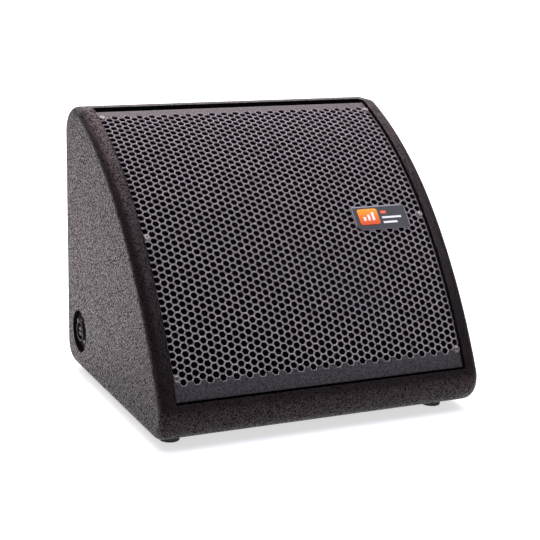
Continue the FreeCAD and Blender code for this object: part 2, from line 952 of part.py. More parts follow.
def make_ports():
    """Two reflex tubes through the baffle, each with a lip on its face."""
    outer = "port_inner + port_wall"
    for label, side in (("port_tube_left", -1), ("port_tube_right", 1)):
        turned(
            label,
            [
                ("port_inner", "-port_length"),
                (outer, "-port_length"),
                (outer, 0),
                ("port_lip", 0),
                ("port_lip", "port_lip_thick"),
                ("port_inner", "port_lip_thick"),
            ],
            x=f"{side} * port_offset",
            along="port_centre",
            out=FACE,
        )


# ---------------------------------------------------------------- connector

PANEL_FACE = "-cabinet_width / 2"
DISH_FLOOR = "dish_depth - cabinet_width / 2"


def socket_solid(label, corners):
    """A round piece on the connector's axis, drawn as (radius, depth into the cabinet)."""
    body = new_body(label)
    outline = draw_outline(new_sketch(body, "XZ_Plane", "outline"), corners)
    feature = body.newObject("PartDesign::Revolution", "turn")
    feature.Profile = outline
    feature.ReferenceAxis = (outline, ["V_Axis"])
    feature.Angle = FULL_TURN
    document.recompute()
    return place_in_cabinet(body, PANEL_FACE, "dish_y", "dish_z", axis=(0, 1, 0), angle=QUARTER_TURN)


def make_connector():
    """A round socket on a rectangular flange, with a hub that carries four contacts."""
    flange_face = "(dish_depth - flange_sheet)"
    flange = socket_solid(
        "connector_housing",
        [
            ("ring_inner", "ring_sink"),
            ("ring_outer", "ring_sink"),
            ("ring_outer", flange_face),
            ("flange_short / 2", flange_face),
            ("flange_short / 2", "dish_depth"),
            ("socket_body", "dish_depth"),
            ("socket_body", "socket_depth + socket_floor"),
            (0, "socket_depth + socket_floor"),
            (0, "socket_depth"),
            ("ring_inner", "socket_depth"),
        ],
    )
    ears = draw_outline(
        new_sketch(flange, "XY_Plane", "flange_outline"),
        [
            ("-flange_short / 2", "-flange_long / 2"),
            ("flange_short / 2", "-flange_long / 2"),
            ("flange_short / 2", "flange_long / 2"),
            ("-flange_short / 2", "flange_long / 2"),
        ],
    )
    root = "ring_outer - ring_root"
    hole = ears.addGeometry(Part.Circle(FreeCAD.Vector(), FreeCAD.Vector(0, 0, 1), value(root)))
    ears.addConstraint(Sketcher.Constraint("Coincident", hole, 3, -1, 1))
    constrain(ears, "Radius", hole, size=root)
    ears.AttachmentOffset = FreeCAD.Placement(FreeCAD.Vector(0, 0, value(flange_face)), FreeCAD.Rotation())
    ears.setExpression("AttachmentOffset.Base.z", cells(flange_face))
    pad(flange, ears, "flange_sheet", "flange")

    hub = socket_solid(
        "connector_hub",
        [
            (0, "hub_recess"),
            ("hub_radius", "hub_recess"),
            ("hub_radius", "socket_depth"),
            (0, "socket_depth"),
        ],
    )
    slot = draw_outline(
        new_sketch(hub, "XY_Plane", "slot_outline"),
        [
            ("-hub_slot / 2", "-hub_radius"),
            ("hub_slot / 2", "-hub_radius"),
            ("hub_slot / 2", "hub_radius"),
            ("-hub_slot / 2", "hub_radius"),
        ],
    )
    pocket(hub, slot, "hub_recess + hub_slot_depth", backwards=True, name="slot")


def make_contacts():
    """Brass strips on the hub and the terminal block behind the socket."""
    strips = []
    for number, (across, up) in enumerate(((0, 1), (0, -1), (1, 0), (-1, 0))):
        strip = document.addObject("Part::Box", f"contact_strip_{number}")
        wide = "contact_width" if across == 0 else "contact_thick"
        tall = "contact_thick" if across == 0 else "contact_width"
        bind(strip, Length="contact_length", Width=wide, Height=tall)
        gap = "(hub_radius + contact_thick / 2)"
        place_in_cabinet(
            strip,
            f"{PANEL_FACE} + hub_recess + contact_start",
            f"dish_y + {across} * {gap} - ({wide}) / 2",
            f"dish_z + {up} * {gap} - ({tall}) / 2",
        )
        strips.append(strip)
    group = document.addObject("Part::Compound", "connector_contacts")
    group.Links = strips
    finish(group, "connector_contacts")
    terminal = block(
        "connector_terminals",
        f"{PANEL_FACE} + socket_depth + socket_floor",
        "dish_y - terminal_width / 2",
        "dish_z - terminal_width / 2",
        ("terminal_depth", "terminal_width", "terminal_width"),
    )
    finish(terminal, "connector_terminals")


def make_connector_screws():
    """Two screws in opposite corners of the flange."""
    spots = []
    for side in (-1, 1):
        where = {
            "x": f"{DISH_FLOOR} - flange_sheet",
            "y": f"dish_y + {side} * (flange_long / 2 - flange_screw_inset)",
            "z": f"dish_z + {side} * (flange_short / 2 - flange_screw_inset)",
            "axis": (0, 1, 0),
            "angle": -QUARTER_TURN,
        }
        spots.append((place_in_cabinet, where))
    screws("connector_screws", spots, "small")


# ---------------------------------------------------------------- inside the cabinet

def make_circuit():
    """The crossover: a board on standoffs with a coil, two capacitors and a resistor."""
    top = "board + standoff + circuit_thick"
    board = block(
        "crossover_board",
        "circuit_x",
        "circuit_y",
        "board + standoff",
        ("circuit_width", "circuit_length", "circuit_thick"),
    )
    finish(board, "crossover_board")
    posts = []
    for number, (across, along) in enumerate(((0, 0), (1, 0), (0, 1), (1, 1))):
        post = document.addObject("Part::Cylinder", f"standoff_{number}")
        bind(post, Radius="standoff_radius", Height="standoff")
        place_in_cabinet(
            post,
            f"circuit_x + circuit_margin + {across} * (circuit_width - 2 * circuit_margin)",
            f"circuit_y + circuit_margin + {along} * (circuit_length - 2 * circuit_margin)",
            "board",
        )
        posts.append(post)
    group = document.addObject("Part::Compound", "crossover_standoffs")
    group.Links = posts
    finish(group, "crossover_standoffs")

    winding = document.addObject("Part::Cylinder", "winding")
    bind(winding, Radius="coil_form_radius", Height="coil_form_height")
    bore = document.addObject("Part::Cylinder", "winding_bore")
    bind(bore, Radius="coil_form_bore", Height="coil_form_height")
    inductor = document.addObject("Part::Cut", "crossover_inductor")
    inductor.Base = winding
    inductor.Tool = bore
    place_in_cabinet(inductor, "circuit_x + inductor_inset", "circuit_y + inductor_inset", top)
    finish(inductor, "crossover_inductor")

    cans = []
    for number in range(2):
        can = document.addObject("Part::Cylinder", f"capacitor_{number}")
        bind(can, Radius="capacitor_radius", Height="capacitor_length")
        place_in_cabinet(
            can,
            "circuit_x + capacitor_across",
            f"circuit_y + capacitor_along + {number} * (2 * capacitor_radius + capacitor_gap)",
            f"{top} + capacitor_radius",
            axis=(0, 1, 0),
            angle=QUARTER_TURN,
        )
        cans.append(can)
    group = document.addObject("Part::Compound", "crossover_capacitors")
    group.Links = cans
    finish(group, "crossover_capacitors")
    resistor = block(
        "crossover_resistor",
        "circuit_x + resistor_across",
        "circuit_y + resistor_along",
        top,
        ("resistor_side", "resistor_length", "resistor_side"),
    )
    finish(resistor, "crossover_resistor")


def make_lining():
    """Soft wadding on the inside of the back panel."""
    low, high = "lining_low", "lining_high"
    corners = [
        (f"{back_face(low)} - board - lining_thick", low),
        (f"{back_face(high)} - board - lining_thick", high),
        (f"{back_face(high)} - board", high),
        (f"{back_face(low)} - board", low),
    ]
    prism("damping_lining", corners, "lining_width", "-lining_width / 2")


def make_feet():
    """Four round rubber feet, each with a dimple for its screw."""
    feet = []
    spots = []
    corners = [(x, y) for y in ("foot_front", "foot_back") for x in ("-foot_left", "foot_right")]
    for number, (x, y) in enumerate(corners):
        rubber = document.addObject("Part::Cone", f"foot_rubber_{number}")
        bind(rubber, Radius1="foot_toe_radius", Radius2="foot_radius", Height="foot_height")
        dimple = document.addObject("Part::Cylinder", f"foot_dimple_{number}")
        bind(dimple, Radius="foot_dimple", Height="foot_dimple_depth")
        foot = document.addObject("Part::Cut", f"foot_{number}")
        foot.Base = rubber
        foot.Tool = dimple
        place_in_cabinet(foot, x, y, "-foot_height")
        feet.append(foot)
        where = {
            "x": x,
            "y": y,
            "z": "foot_dimple_depth - foot_height",
            "angle": HALF_TURN,
        }
        spots.append((place_in_cabinet, where))
    group = document.addObject("Part::Compound", "rubber_feet")
    group.Links = feet
    finish(group, "rubber_feet")
    screws("foot_screws", spots, "small")


# ---------------------------------------------------------------- checking and writing

def check_document():
    """Stop if any object failed, or a sub-part has no sound solid."""
    document.recompute()
    for item in document.Objects:
        if "Invalid" in item.State or "Error" in item.State:
            raise ValueError(f"{item.Label} failed: {item.State}")
    for item in sub_parts:
        shape = item.Shape
        if shape.isNull() or not shape.isValid() or not shape.Solids:
            raise ValueError(f"{item.Label} has no sound shape")


def write_sub_parts():
    os.makedirs("parts", exist_ok=True)
    for item in sub_parts:
        item.Shape.exportStep(f"parts/{item.Label}.step")
        box = item.Shape.BoundBox
        print(f"{item.Label:24} {item.Shape.Volume / 1000:9.2f} cm3  "
              f"x {box.XMin:7.1f} {box.XMax:7.1f}  y {box.YMin:7.1f} {box.YMax:7.1f}  "
              f"z {box.ZMin:7.1f} {box.ZMax:7.1f}")


make_carcass()
make_battens()
make_baffle()
make_grille()
make_foam()
make_grille_screws()
make_badge()
make_basket()
make_surround_and_gasket()
make_moving_parts()
make_spider()
make_magnet_system()
make_horn()
make_compression_driver()
make_speaker_screws()
make_ports()
make_connector()
make_contacts()
make_connector_screws()
make_circuit()
make_lining()
make_feet()
check_document()
write_sub_parts()
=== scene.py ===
import json
import math

import bmesh
import bpy
from mathutils import Matrix, Vector


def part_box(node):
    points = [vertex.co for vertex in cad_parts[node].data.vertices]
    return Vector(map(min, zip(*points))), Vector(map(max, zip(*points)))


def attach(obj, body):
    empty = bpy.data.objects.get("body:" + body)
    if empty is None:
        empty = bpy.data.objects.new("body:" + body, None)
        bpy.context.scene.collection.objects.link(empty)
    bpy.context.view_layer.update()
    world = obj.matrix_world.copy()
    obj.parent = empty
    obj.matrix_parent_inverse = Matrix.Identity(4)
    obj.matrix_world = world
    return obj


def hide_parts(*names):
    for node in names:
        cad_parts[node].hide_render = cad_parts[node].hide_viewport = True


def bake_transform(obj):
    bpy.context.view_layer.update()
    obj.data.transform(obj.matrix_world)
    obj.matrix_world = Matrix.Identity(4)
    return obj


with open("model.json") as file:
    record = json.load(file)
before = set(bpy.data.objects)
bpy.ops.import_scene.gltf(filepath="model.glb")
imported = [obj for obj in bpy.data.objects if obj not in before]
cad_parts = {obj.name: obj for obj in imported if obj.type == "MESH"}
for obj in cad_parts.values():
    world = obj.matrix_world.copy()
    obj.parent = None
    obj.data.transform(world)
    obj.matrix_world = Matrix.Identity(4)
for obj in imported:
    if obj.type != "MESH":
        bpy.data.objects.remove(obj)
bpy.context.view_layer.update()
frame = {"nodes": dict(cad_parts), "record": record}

MM = 0.001
WELD_DISTANCE = 1e-6

# Edges sharper than this many degrees stay sharp.
SHEET_CREASE = 50
SCREW_CREASE = 40
RING_CREASE = 50

# ---------------------------------------------------------------- the cabinet's front curve

# The side outline in millimetres, y from the front of the cabinet and z from its underside.
DEPTH = 334.5
FOOT = 8
TOE_RADIUS = 29.6
LOW_RADIUS = 640
HIGH_RADIUS = 450
LEAN_LOW = math.radians(25.5)
LEAN_MID = math.radians(43.2)
TOE_TOP = (TOE_RADIUS * (1 - math.cos(LEAN_LOW)), TOE_RADIUS * (1 + math.sin(LEAN_LOW)))
LOW_CENTRE = (
    TOE_TOP[0] + LOW_RADIUS * math.cos(LEAN_LOW),
    TOE_TOP[1] - LOW_RADIUS * math.sin(LEAN_LOW),
)
HIGH_CENTRE = (
    LOW_CENTRE[0] - (LOW_RADIUS - HIGH_RADIUS) * math.cos(LEAN_MID),
    LOW_CENTRE[1] + (LOW_RADIUS - HIGH_RADIUS) * math.sin(LEAN_MID),
)
LOW_LENGTH = LOW_RADIUS * (LEAN_MID - LEAN_LOW)


def lean(distance):
    """The front curve's lean from upright at a distance up it from the toe."""
    if distance <= LOW_LENGTH:
        return LEAN_LOW + distance / LOW_RADIUS
    return LEAN_MID + (distance - LOW_LENGTH) / HIGH_RADIUS


def front_point(x, distance, sink):
    """A point on the front curve, sunk into the cabinet, in the part's frame in metres."""
    angle = lean(distance)
    if distance <= LOW_LENGTH:
        centre, radius = LOW_CENTRE, LOW_RADIUS - sink
    else:
        centre, radius = HIGH_CENTRE, HIGH_RADIUS - sink
    y = centre[0] - radius * math.cos(angle) - DEPTH / 2
    z = centre[1] + radius * math.sin(angle) + FOOT
    return Vector((x, y, z)) * MM


def front_axes(distance):
    """Directions across, up the curve, and out of it."""
    angle = lean(distance)
    across = Vector((1, 0, 0))
    upward = Vector((0, math.sin(angle), math.cos(angle)))
    return across, upward, across.cross(upward)


# ---------------------------------------------------------------- mesh helpers

def mesh_object(name, vertices, faces):
    """A smooth-shaded object, added to the scene."""
    mesh = bpy.data.meshes.new(name)
    mesh.from_pydata(vertices, [], faces)
    mesh.validate()
    mesh.update()
    mesh.shade_smooth()
    item = bpy.data.objects.new(name, mesh)
    bpy.context.scene.collection.objects.link(item)
    return item


def clean_mesh(item, weld=False):
    """Turn every face outwards, and join the vertices that coincide if asked to."""
    shape = bmesh.new()
    shape.from_mesh(item.data)
    if weld:
        bmesh.ops.remove_doubles(shape, verts=shape.verts, dist=WELD_DISTANCE)
    bmesh.ops.recalc_face_normals(shape, faces=shape.faces)
    shape.to_mesh(item.data)
    shape.free()


def merge(name, items):
    """Replace mesh objects by one object that holds them all."""
    shape = bmesh.new()
    for entry in items:
        mesh = entry.data
        shape.from_mesh(mesh)
        bpy.data.objects.remove(entry)
        bpy.data.meshes.remove(mesh)
    bmesh.ops.recalc_face_normals(shape, faces=shape.faces)
    mesh = bpy.data.meshes.new(name)
    shape.to_mesh(mesh)
    shape.free()
    mesh.shade_smooth()
    item = bpy.data.objects.new(name, mesh)
    bpy.context.scene.collection.objects.link(item)
    return item


def lathe(name, outline, origin, axes, steps):
    """Spin an outline of (radius, height) round an axis; axes are two across and the axis itself."""
    first, second, axis = axes
    vertices = []
    faces = []
    for step in range(steps):
        angle = 2 * math.pi * step / steps
        out = first * math.cos(angle) + second * math.sin(angle)
        vertices += [origin + (out * radius + axis * height) * MM for radius, height in outline]
    count = len(outline)
    for step in range(steps):
        here = step * count
        there = (step + 1) % steps * count
        for index in range(count - 1):
            faces.append((here + index, there + index, there + index + 1, here + index + 1))
    item = mesh_object(name, vertices, faces)
    clean_mesh(item, weld=True)
    return item


def sharpen(item, degrees):
    """Shade smooth but keep edges sharper than an angle."""
    for polygon in item.data.polygons:
        polygon.use_smooth = True
    item.data.set_sharp_from_angle(angle=math.radians(degrees))


# ---------------------------------------------------------------- materials

# how the grain is turned, and how far a noise value usually strays to either side of its middle
GRAIN_TURN = (0.61, 0.43, 0.87)
NOISE_LOW = 0.3
NOISE_HIGH = 0.7


class Recipe:
    """A material's node tree, with short ways to add and join nodes."""

    def __init__(self, name, colour, roughness=0.5, metallic=0.0, specular=0.5):
        self.material = bpy.data.materials.new(name)
        self.material.use_nodes = True
        self.tree = self.material.node_tree
        self.shader = self.tree.nodes["Principled BSDF"]
        self.shader.inputs["Base Color"].default_value = (*colour, 1)
        self.shader.inputs["Roughness"].default_value = roughness
        self.shader.inputs["Metallic"].default_value = metallic
        self.shader.inputs["Specular IOR Level"].default_value = specular
        self.place = self.add("ShaderNodeTexCoord").outputs["Object"]
        self.turned = self.turn_grain()

    def add(self, kind, **settings):
        node = self.tree.nodes.new(kind)
        for key, setting in settings.items():
            setattr(node, key, setting)
        return node

    def join(self, source, target):
        self.tree.links.new(source, target)

    def turn_grain(self):
        """Coordinates turned off the object's axes, so that no flat face lies along the grain."""
        mapping = self.add("ShaderNodeMapping")
        self.join(self.place, mapping.inputs["Vector"])
        mapping.inputs["Rotation"].default_value = GRAIN_TURN
        return mapping.outputs["Vector"]

    def noise(self, scale, detail, roughness=0.55):
        """Noise with its grain given as features per metre."""
        node = self.add("ShaderNodeTexNoise")
        self.join(self.turned, node.inputs["Vector"])
        node.inputs["Scale"].default_value = scale
        node.inputs["Detail"].default_value = detail
        node.inputs["Roughness"].default_value = roughness
        return node.outputs["Fac"]

    def cells(self, scale):
        """Distance from the middle of small cells, given as cells per metre."""
        node = self.add("ShaderNodeTexVoronoi")
        self.join(self.turned, node.inputs["Vector"])
        node.inputs["Scale"].default_value = scale
        return node.outputs["Distance"]

    def spread(self, value, low, high, out_low, out_high):
        """The value moved from one range to another."""
        node = self.add("ShaderNodeMapRange")
        self.join(value, node.inputs["Value"])
        limits = {"From Min": low, "From Max": high, "To Min": out_low, "To Max": out_high}
        for key, number in limits.items():
            node.inputs[key].default_value = number
        return node.outputs["Result"]

    def ramp(self, value, stops):
        """Colours along the value, from (position, colour) stops."""
        node = self.add("ShaderNodeValToRGB")
        self.join(value, node.inputs["Fac"])
        ramp = node.color_ramp
        while len(ramp.elements) < len(stops):
            ramp.elements.new(0.5)
        for element, (position, colour) in zip(ramp.elements, stops):
            element.position = position
            element.color = (*colour, 1)
        return node.outputs["Color"]

    def mix(self, share, first, second):
        """From the first colour to the second as the share rises; each is a colour or a socket."""
        node = self.add("ShaderNodeMix", data_type="RGBA")
        self.join(share, node.inputs["Factor"])
        for key, colour in (("A", first), ("B", second)):
            socket = next(entry for entry in node.inputs if entry.name == key and entry.type == "RGBA")
            if isinstance(colour, tuple):
                socket.default_value = (*colour, 1)
            else:
                self.join(colour, socket)
        return next(entry for entry in node.outputs if entry.type == "RGBA")

    def sum(self, first, second, share):
        """The first value plus a share of the second."""
        scaled = self.add("ShaderNodeMath", operation="MULTIPLY_ADD")
        self.join(second, scaled.inputs[0])
        scaled.inputs[1].default_value = share
        self.join(first, scaled.inputs[2])
        return scaled.outputs["Value"]

    def inside(self, boxes):
        """A mask that is 1 inside any of the boxes (low x, high x, low z, high z), in metres."""
        separate = self.add("ShaderNodeSeparateXYZ")
        self.join(self.place, separate.inputs["Vector"])
        mask = None
        for low_x, high_x, low_z, high_z in boxes:
            product = self.add("ShaderNodeMath", operation="MULTIPLY")
            for index, (axis, low, high) in enumerate((("X", low_x, high_x), ("Z", low_z, high_z))):
                within = self.add("ShaderNodeMath", operation="COMPARE")
                self.join(separate.outputs[axis], within.inputs[0])
                within.inputs[1].default_value = (low + high) / 2
                within.inputs[2].default_value = (high - low) / 2
                self.join(within.outputs["Value"], product.inputs[index])
            if mask is None:
                mask = product.outputs["Value"]
            else:
                union = self.add("ShaderNodeMath", operation="MAXIMUM")
                self.join(mask, union.inputs[0])
                self.join(product.outputs["Value"], union.inputs[1])
                mask = union.outputs["Value"]
        return mask

    def colour(self, source):
        self.join(source, self.shader.inputs["Base Color"])

    def rough(self, source):
        self.join(source, self.shader.inputs["Roughness"])

    def uneven_gloss(self, noise, low, high):
        """Roughness that wanders between two values with a noise."""
        self.rough(self.spread(noise, NOISE_LOW, NOISE_HIGH, low, high))

    def specular(self, source):
        self.join(source, self.shader.inputs["Specular IOR Level"])

    def bump(self, height, strength, distance):
        node = self.add("ShaderNodeBump")
        node.inputs["Strength"].default_value = strength
        node.inputs["Distance"].default_value = distance
        self.join(height, node.inputs["Height"])
        self.join(node.outputs["Normal"], self.shader.inputs["Normal"])


def plain(name, colour, roughness, metallic, grain, contrast, relief):
    """A material with gentle mottling, uneven gloss and a fine grain; the relief is in millimetres."""
    recipe = Recipe(name, colour, roughness, metallic)
    broad = recipe.noise(grain / 8, 4)
    fine = recipe.noise(grain, 3)
    darker = tuple(channel * (1 - contrast) for channel in colour)
    lighter = tuple(min(1, channel * (1 + contrast)) for channel in colour)
    both = recipe.sum(broad, fine, 0.35)
    recipe.colour(recipe.ramp(both, [(0.45, darker), (0.9, lighter)]))
    recipe.uneven_gloss(fine, max(0.05, roughness - 0.08), min(1, roughness + 0.08))
    recipe.bump(fine, 0.5, relief * MM)
    return recipe.material


def cabinet_paint():
    """Sprayed black textured paint: dull pits in a pebbled, glossier skin with a warm sheen."""
    recipe = Recipe("cabinet_paint", (0.012, 0.010, 0.010), 0.3)
    recipe.shader.inputs["Specular Tint"].default_value = (1.0, 0.79, 0.84, 1)
    pebble = recipe.noise(560, 2, 0.65)
    grain = recipe.noise(1300, 1, 0.5)
    broad = recipe.noise(20, 3)
    height = recipe.sum(pebble, grain, 0.3)
    pits = recipe.spread(height, 0.55, 0.73, 0.0, 1.0)
    tone = recipe.sum(pits, broad, 0.2)
    stops = [
        (0.1, (0.006, 0.0042, 0.0045)),
        (0.6, (0.010, 0.007, 0.0075)),
        (1.0, (0.015, 0.0105, 0.0115)),
    ]
    recipe.colour(recipe.ramp(tone, stops))
    recipe.specular(recipe.spread(pits, 0.0, 1.0, 0.0, 0.25))
    recipe.rough(recipe.spread(pits, 0.0, 1.0, 0.60, 0.22))
    recipe.bump(height, 1.0, 0.6 * MM)
    return recipe.material


def grille_coat():
    """Black coating on steel: leathery on the solid bands; the ribs between the holes are painted much
    lighter, a painted highlight for the light their rounded edges catch.
    """
    recipe = Recipe("grille_coat", (0.03, 0.027, 0.029), 0.3, specular=0.3)
    leather = recipe.noise(480, 2, 0.6)
    speck = recipe.noise(1900, 2)
    tone = recipe.sum(leather, speck, 0.3)
    band = recipe.ramp(tone, [(0.5, (0.014, 0.011, 0.013)), (0.8, (0.062, 0.052, 0.060))])
    # Painted highlight: the same coating, much lighter on the ribs, stands in for light reflected off
    # their rounded edges.
    ribs = recipe.ramp(tone, [(0.5, (0.13, 0.110, 0.122)), (0.8, (0.42, 0.365, 0.40))])
    share = recipe.add("ShaderNodeAttribute", attribute_name="rib").outputs["Fac"]
    recipe.colour(recipe.mix(share, band, ribs))
    recipe.uneven_gloss(speck, 0.34, 0.52)
    recipe.bump(leather, 1.0, 0.8 * MM)
    return recipe.material


def foam():
    """Black open foam: nearly no gloss, with a few pale flecks."""
    recipe = Recipe("foam", (0.003, 0.003, 0.003), 1.0, specular=0.02)
    pores = recipe.cells(1400)
    fleck = recipe.noise(1100, 1)
    stops = [(0.66, (0.0012, 0.0011, 0.0012)), (0.74, (0.006, 0.006, 0.007)), (0.82, (0.16, 0.16, 0.18))]
    recipe.colour(recipe.ramp(fleck, stops))
    recipe.bump(pores, 1.0, 0.5 * MM)
    return recipe.material


def boxes_on(piece_low, piece_high, shares):
    """Boxes (left, right, low, high) given as shares of a piece's width and height, in metres."""
    width = piece_high.x - piece_low.x
    height = piece_high.z - piece_low.z
    return [
        (
            piece_low.x + left * width,
            piece_low.x + right * width,
            piece_low.z + low * height,
            piece_low.z + high * height,
        )
        for left, right, low, high in shares
    ]


def emblem_coat():
    """A glossy tile, yellow-orange at its top and red-orange at its foot, with three plain bars."""
    recipe = Recipe("emblem", (0.85, 0.22, 0.03), 0.4, specular=0.2)
    low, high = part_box("badge_emblem")
    separate = recipe.add("ShaderNodeSeparateXYZ")
    recipe.join(recipe.place, separate.inputs["Vector"])
    rise = recipe.spread(separate.outputs["Z"], low.z, high.z, 0.0, 1.0)
    stops = [(0.0, (0.66, 0.06, 0.006)), (0.5, (0.85, 0.17, 0.008)), (1.0, (0.95, 0.38, 0.015))]
    tile = recipe.ramp(rise, stops)
    bars = [(0.22, 0.34, 0.28, 0.50), (0.44, 0.56, 0.28, 0.64), (0.66, 0.78, 0.28, 0.78)]
    recipe.colour(recipe.mix(recipe.inside(boxes_on(low, high, bars)), tile, (0.9, 0.88, 0.86)))
    speck = recipe.noise(900, 2)
    recipe.uneven_gloss(speck, 0.34, 0.5)
    recipe.bump(speck, 0.15, 0.02 * MM)
    return recipe.material


def badge_coat():
    """A dark plate with a painted highlight, pale and bluish, along its bevelled edge, and plain bars
    where lettering would be.
    """
    recipe = Recipe("badge", (0.03, 0.027, 0.03), 0.4, 0.1, 0.3)
    low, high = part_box("badge_plate")
    speck = recipe.noise(1500, 2)
    plate = recipe.ramp(speck, [(0.3, (0.016, 0.014, 0.016)), (0.7, (0.030, 0.027, 0.030))])
    # Outside this box the plate's edge is painted pale and bluish: a painted highlight on the bevel.
    face = boxes_on(low, high, [(0.012, 0.988, 0.04, 0.95)])
    plate_with_painted_rim_highlight = recipe.mix(recipe.inside(face), (0.24, 0.23, 0.27), plate)
    light = boxes_on(low, high, [(0.52, 0.88, 0.46, 0.54), (0.52, 0.78, 0.26, 0.34)])
    marked = recipe.mix(recipe.inside(light), plate_with_painted_rim_highlight, (0.75, 0.74, 0.76))
    accent = boxes_on(low, high, [(0.52, 0.62, 0.66, 0.78)])
    recipe.colour(recipe.mix(recipe.inside(accent), marked, (0.75, 0.10, 0.03)))
    recipe.uneven_gloss(speck, 0.34, 0.5)
    recipe.bump(speck, 0.2, 0.03 * MM)
    return recipe.material


def make_materials():
    """Every material, by the name of its slot in the record."""
    made = {
        "cabinet_paint": cabinet_paint(),
        "grille_coat": grille_coat(),
        "foam": foam(),
        "emblem": emblem_coat(),
        "badge": badge_coat(),
    }
    # colour, roughness, metallic, grain per metre, contrast, relief in millimetres
    simple = {
        "baffle_board": ((0.022, 0.021, 0.02), 0.8, 0.0, 300, 0.3, 0.3),
        "black_screw": ((0.22, 0.19, 0.18), 0.25, 0.6, 900, 0.3, 0.03),
        "basket_coat": ((0.02, 0.02, 0.02), 0.5, 0.2, 500, 0.3, 0.08),
        "gasket": ((0.02, 0.02, 0.02), 0.85, 0.0, 700, 0.3, 0.15),
        "cloth_edge": ((0.02, 0.02, 0.021), 0.8, 0.0, 1200, 0.4, 0.2),
        "paper": ((0.03, 0.03, 0.03), 0.9, 0.0, 600, 0.4, 0.25),
        "copper": ((0.72, 0.29, 0.11), 0.3, 0.9, 1500, 0.2, 0.1),
        "spider_cloth": ((0.45, 0.30, 0.12), 0.8, 0.0, 1300, 0.3, 0.2),
        "zinc_steel": ((0.58, 0.56, 0.48), 0.35, 0.9, 300, 0.15, 0.05),
        "ferrite": ((0.035, 0.035, 0.038), 0.6, 0.1, 600, 0.3, 0.1),
        "horn_moulding": ((0.02, 0.02, 0.021), 0.55, 0.0, 900, 0.3, 0.08),
        "diaphragm": ((0.7, 0.7, 0.72), 0.3, 0.9, 500, 0.1, 0.02),
        "connector_black": ((0.010, 0.010, 0.010), 0.5, 0.0, 1200, 0.25, 0.04),
        "contact_brass": ((0.78, 0.66, 0.40), 0.28, 1.0, 1500, 0.15, 0.02),
        "plated_screw": ((0.06, 0.06, 0.06), 0.35, 0.6, 900, 0.2, 0.03),
        "circuit": ((0.02, 0.12, 0.05), 0.4, 0.0, 500, 0.2, 0.03),
        "capacitor_film": ((0.5, 0.35, 0.05), 0.35, 0.0, 400, 0.15, 0.03),
        "ceramic": ((0.72, 0.70, 0.64), 0.8, 0.0, 900, 0.12, 0.1),
        "wadding": ((0.6, 0.6, 0.57), 0.95, 0.0, 500, 0.25, 1.0),
        "rubber": ((0.022, 0.022, 0.022), 0.72, 0.0, 900, 0.3, 0.08),
    }
    for name, settings in simple.items():
        made[name] = plain(name, *settings)
    return made


def dress(item, material):
    """Give an object one material."""
    item.data.materials.clear()
    item.data.materials.append(material)


SLOTS = {entry["node"]: entry["material_slot"] for entry in frame["record"]["subparts"]}


def dress_cad(materials):
    """Give every CAD node the material of its slot in the record."""
    for node, slot in SLOTS.items():
        dress(frame["nodes"][node], materials[slot])


# ---------------------------------------------------------------- grille

# The staggered lattice, in millimetres: columns across, and rows counted down from the top one.
HOLE_PITCH = 8.5
COLUMN_PITCH = 7.63
FIRST_COLUMN = -17
LAST_COLUMN = 28
COLUMN_ZERO = 5.5
ROWS = 42
ROWS_ABOVE_ZERO = 28
ROW_ZERO = 136.4

# The sheet: its depth below the cheeks' edge, half its width, and its ends up the curve.
GRILLE_SINK = 3
GRILLE_THICK = 1.5
GRILLE_HALF = 175.2
GRILLE_START = 4.7
GRILLE_END = 392.6
BAND_STEPS = 4

# The folded edge as (distance back from the sheet's end, height below its face).
FOLD_BEND = ((1.0, 0.0), (0.45, 0.12), (0.1, 0.5), (0.0, 1.1))
FOLD_DEPTH = 6

# Vertices closer than one of these steps per millimetre are one vertex.
STEPS_ALONG = 20
STEPS_HIGH = 50

# How a rib is rounded: (share of the cell, height below the rib's crest).
RIB = ((0.95, 0.03), (0.90, 0.13), (0.85, 0.38), (0.825, 0.75), (0.81, 1.5))


def hole_centres():
    """Column number, row number and centre of every hole, in millimetres along the sheet."""
    for column in range(FIRST_COLUMN, LAST_COLUMN + 1):
        offset = 0 if column % 2 == 0 else 0.5
        for row in range(ROWS):
            x = (column - COLUMN_ZERO) * COLUMN_PITCH
            yield column, row, x, ROW_ZERO + (ROWS_ABOVE_ZERO - row + offset) * HOLE_PITCH


class SheetMesh:
    """Collects the grille's vertices in sheet coordinates: across, up the curve, height."""

    def __init__(self):
        self.vertices = []
        self.faces = []
        self.ribs = set()
        self.known = {}

    def vertex(self, x, distance, height):
        """The number of the vertex at a place, added if it's new."""
        x = max(-GRILLE_HALF, min(GRILLE_HALF, x))
        key = (round(x * STEPS_ALONG), round(distance * STEPS_ALONG), round(height * STEPS_HIGH))
        if key not in self.known:
            self.known[key] = len(self.vertices)
            self.vertices.append(front_point(x, distance, GRILLE_SINK - height))
        return self.known[key]

    def quad(self, *corners):
        self.faces.append([self.vertex(*corner) for corner in corners])


def cell_corners(x, distance, share=1.0):
    """The six corners of a lattice cell, from the right-hand one, going up and round."""
    reach = COLUMN_PITCH * 2 / 3 * share
    half = HOLE_PITCH / 2 * share
    return [
        (x + reach, distance),
        (x + reach / 2, distance + half),
        (x - reach / 2, distance + half),
        (x - reach, distance),
        (x - reach / 2, distance - half),
        (x + reach / 2, distance - half),
    ]


def add_cell(sheet, x, distance):
    """One hole with its share of the ribs round it, front, wall and back."""
    rings = [[(*corner, 0.0) for corner in cell_corners(x, distance)]]
    rings += [[(*corner, -drop) for corner in cell_corners(x, distance, share)] for share, drop in RIB]
    rings.append([(*corner, -GRILLE_THICK) for corner in cell_corners(x, distance)])
    for outer, inner in zip(rings, rings[1:]):
        for index in range(6):
            following = (index + 1) % 6
            sheet.quad(outer[index], outer[following], inner[following], inner[index])
    sheet.ribs.update(sheet.vertex(*corner) for ring in rings[1:-1] for corner in ring)


